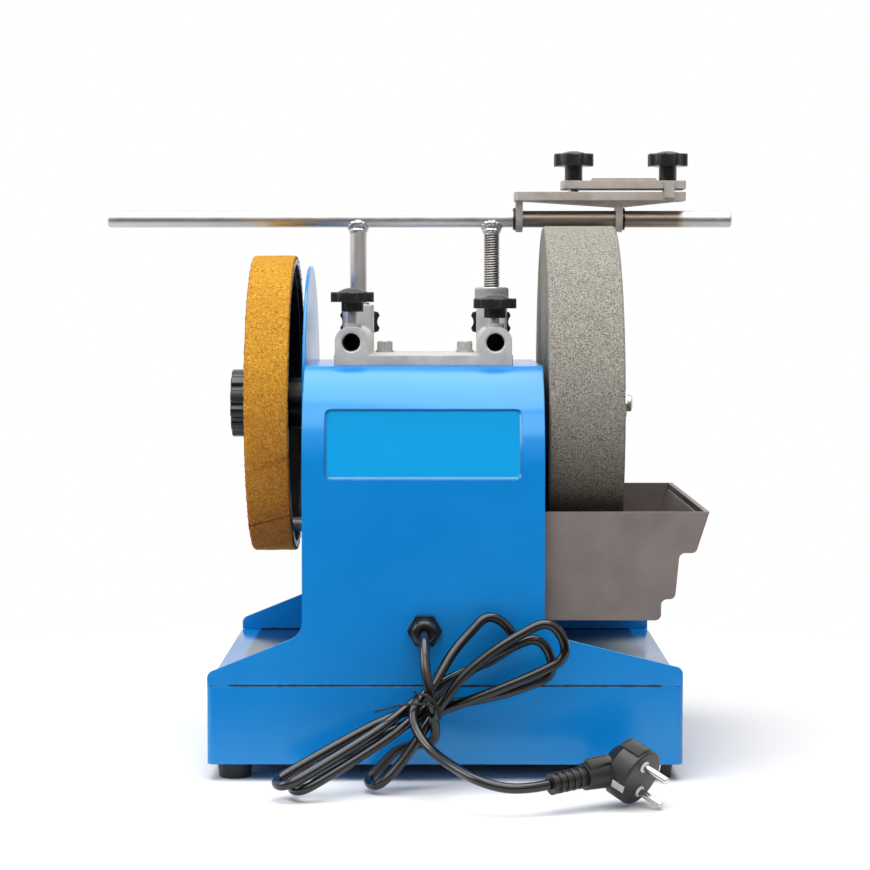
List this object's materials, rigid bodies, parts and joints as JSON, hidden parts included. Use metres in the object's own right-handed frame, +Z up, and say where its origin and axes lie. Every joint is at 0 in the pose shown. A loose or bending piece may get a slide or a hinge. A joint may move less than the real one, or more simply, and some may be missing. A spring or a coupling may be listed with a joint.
{
  "type": "wet sharpening machine",
  "caption": "Bench wet sharpener with a water-cooled grindstone, a leather honing wheel, a friction drive, a height-set tool support bar with a square-edge jig, and a mains cord.",
  "frame": {"origin": "middle of the base's footprint, on the bench under the rubber feet", "axes": "+X along the wheel shaft towards the grindstone, -Y towards the side with the mains cord, +Z up"},
  "size_m": [0.4507, 0.3962, 0.4235],
  "materials": {
    "blue_paint": "glossy enamel",
    "black_paint": "satin enamel",
    "black_rubber": "satin rubber",
    "plated_steel": "zinc plated",
    "polished_steel": "ground and polished",
    "grey_casting": "die cast, silver lacquered",
    "bronze": "sintered",
    "abrasive_stone": "fine grained stone",
    "black_plastic": "moulded",
    "honing_leather": "undyed, waxed",
    "iron_core": "laminated",
    "capacitor_can": "moulded can",
    "trough_plastic": "moulded, warm grey",
    "switch_red": "moulded"
  },
  "bodies": {
    "machine": {"base_pan": "blue_paint", "bottom_cover": "black_paint", "rubber_feet": "black_rubber", "foot_screws": "plated_steel", "housing_shell": "blue_paint", "left_side_panel": "blue_paint", "wheel_shield": "blue_paint", "right_side_panel": "blue_paint", "panel_screws": "plated_steel", "support_casting": "grey_casting", "casting_bolts": "plated_steel", "casting_washers": "plated_steel", "shaft_bearings": "bronze", "motor_case": "black_paint", "motor_stator": "iron_core", "motor_bearings": "polished_steel", "motor_bracket": "black_paint", "motor_bolts": "plated_steel", "capacitor": "capacitor_can", "trough_screws": "plated_steel", "switch_bezel": "black_plastic", "cable_gland": "black_plastic", "cord_lead": "black_rubber", "cord_hank": "black_rubber", "cord_tail": "black_rubber", "cord_tie": "black_plastic", "plug_body": "black_plastic", "plug_contacts": "plated_steel"},
    "spindle": {"main_shaft": "polished_steel", "grindstone": "abrasive_stone", "stone_flanges": "plated_steel", "stone_nut": "plated_steel", "honing_drum": "black_plastic", "honing_leather": "honing_leather", "drive_ring": "black_rubber", "honing_knob": "black_plastic"},
    "rotor": {"motor_rotor": "iron_core", "motor_shaft": "polished_steel", "friction_roller": "iron_core"},
    "support": {"support_bar": "polished_steel", "smooth_leg": "polished_steel", "threaded_leg": "polished_steel", "support_welds": "plated_steel"},
    "height_nut": {"height_nut": "plated_steel"},
    "sleeve_screw_left": {"sleeve_screw_left": "plated_steel"},
    "sleeve_knob_left": {"sleeve_knob_left": "black_plastic"},
    "sleeve_screw_right": {"sleeve_screw_right": "plated_steel"},
    "sleeve_knob_right": {"sleeve_knob_right": "black_plastic"},
    "leg_screw_left": {"leg_screw_left": "plated_steel"},
    "leg_knob_left": {"leg_knob_left": "black_plastic"},
    "leg_screw_right": {"leg_screw_right": "plated_steel"},
    "leg_knob_right": {"leg_knob_right": "black_plastic"},
    "jig_carrier": {"jig_bushes": "black_plastic"},
    "jig": {"jig_base": "grey_casting", "jig_studs": "plated_steel"},
    "jig_jaw": {"jig_clamp": "grey_casting"},
    "jig_knob_left": {"jig_knob_left": "black_plastic"},
    "jig_knob_right": {"jig_knob_right": "black_plastic"},
    "trough": {"water_trough": "trough_plastic"},
    "switch": {"switch_rocker": "switch_red"}
  },
  "joints": [
    {"name": "wheel_spin", "type": "hinge", "parent": "machine", "child": "spindle", "pos_m": [0, 0, 0.243], "axis": [1, 0, 0], "continuous": true},
    {"name": "motor_spin", "type": "hinge", "parent": "machine", "child": "rotor", "pos_m": [0, 0, 0.15665], "axis": [1, 0, 0], "continuous": true},
    {"name": "height_nut_turn", "type": "hinge", "parent": "machine", "child": "height_nut", "pos_m": [0.0338, 0.042, 0.319], "axis": [0, 0, -1], "range_deg": [0, 8228.57]},
    {"name": "support_slide", "type": "slide", "parent": "machine", "child": "support", "axis": [0, 0, 1], "range_m": [0, 0.04]},
    {"name": "sleeve_screw_left_slide", "type": "slide", "parent": "machine", "child": "sleeve_screw_left", "axis": [0, 0, 1], "range_m": [-0.004, 0.001]},
    {"name": "sleeve_knob_left_turn", "type": "hinge", "parent": "sleeve_screw_left", "child": "sleeve_knob_left", "pos_m": [-0.0628, -0.072, 0.312], "axis": [0, 0, 1], "range_deg": [-1440, 360]},
    {"name": "sleeve_screw_right_slide", "type": "slide", "parent": "machine", "child": "sleeve_screw_right", "axis": [0, 0, 1], "range_m": [0, 0.006]},
    {"name": "sleeve_knob_right_turn", "type": "hinge", "parent": "sleeve_screw_right", "child": "sleeve_knob_right", "pos_m": [0.0338, -0.072, 0.308], "axis": [0, 0, 1], "range_deg": [0, 2160]},
    {"name": "leg_screw_left_slide", "type": "slide", "parent": "machine", "child": "leg_screw_left", "axis": [0, 1, 0], "range_m": [0, 0.006]},
    {"name": "leg_knob_left_turn", "type": "hinge", "parent": "leg_screw_left", "child": "leg_knob_left", "pos_m": [-0.0628, 0.066, 0.3], "axis": [0, 1, 0], "range_deg": [0, 2160]},
    {"name": "leg_screw_right_slide", "type": "slide", "parent": "machine", "child": "leg_screw_right", "axis": [0, 1, 0], "range_m": [0, 0.006]},
    {"name": "leg_knob_right_turn", "type": "hinge", "parent": "leg_screw_right", "child": "leg_knob_right", "pos_m": [0.0338, 0.066, 0.3], "axis": [0, 1, 0], "range_deg": [0, 2160]},
    {"name": "jig_slide", "type": "slide", "parent": "support", "child": "jig_carrier", "axis": [1, 0, 0], "range_m": [-0.005, 0.07]},
    {"name": "jig_swing", "type": "hinge", "parent": "jig_carrier", "child": "jig", "pos_m": [0.1, 0.042, 0.3745], "axis": [1, 0, 0], "range_deg": [-85, 50]},
    {"name": "jig_jaw_slide", "type": "slide", "parent": "jig", "child": "jig_jaw", "axis": [0, 0, 1], "range_m": [0, 0.006]},
    {"name": "jig_knob_left_turn", "type": "hinge", "parent": "jig_jaw", "child": "jig_knob_left", "pos_m": [0.093, 0.042, 0.41], "axis": [0, 0, 1], "range_deg": [0, 1728]},
    {"name": "jig_knob_right_turn", "type": "hinge", "parent": "jig_jaw", "child": "jig_knob_right", "pos_m": [0.161, 0.042, 0.41], "axis": [0, 0, 1], "range_deg": [0, 1728]},
    {"name": "trough_lift", "type": "slide", "parent": "machine", "child": "trough", "axis": [0, 0, 1], "range_m": [0, 0.0065]},
    {"name": "switch_tilt", "type": "hinge", "parent": "machine", "child": "switch", "pos_m": [-0.01415, 0.1365, 0.15], "axis": [1, 0, 0], "range_deg": [-20, 0]}
  ],
  "couplings": [
    {"joint": "motor_spin", "follows": "wheel_spin", "ratio": 12.533},
    {"joint": "height_nut_turn", "follows": "support_slide", "rad_per_m": 3590.4},
    {"joint": "sleeve_knob_left_turn", "follows": "sleeve_screw_left_slide", "rad_per_m": 6283.2},
    {"joint": "sleeve_knob_right_turn", "follows": "sleeve_screw_right_slide", "rad_per_m": 6283.2},
    {"joint": "leg_knob_left_turn", "follows": "leg_screw_left_slide", "rad_per_m": 6283.2},
    {"joint": "leg_knob_right_turn", "follows": "leg_screw_right_slide", "rad_per_m": 6283.2},
    {"joint": "jig_knob_left_turn", "follows": "jig_jaw_slide", "rad_per_m": 5026.5},
    {"joint": "jig_knob_right_turn", "follows": "jig_jaw_slide", "rad_per_m": 5026.5}
  ]
}
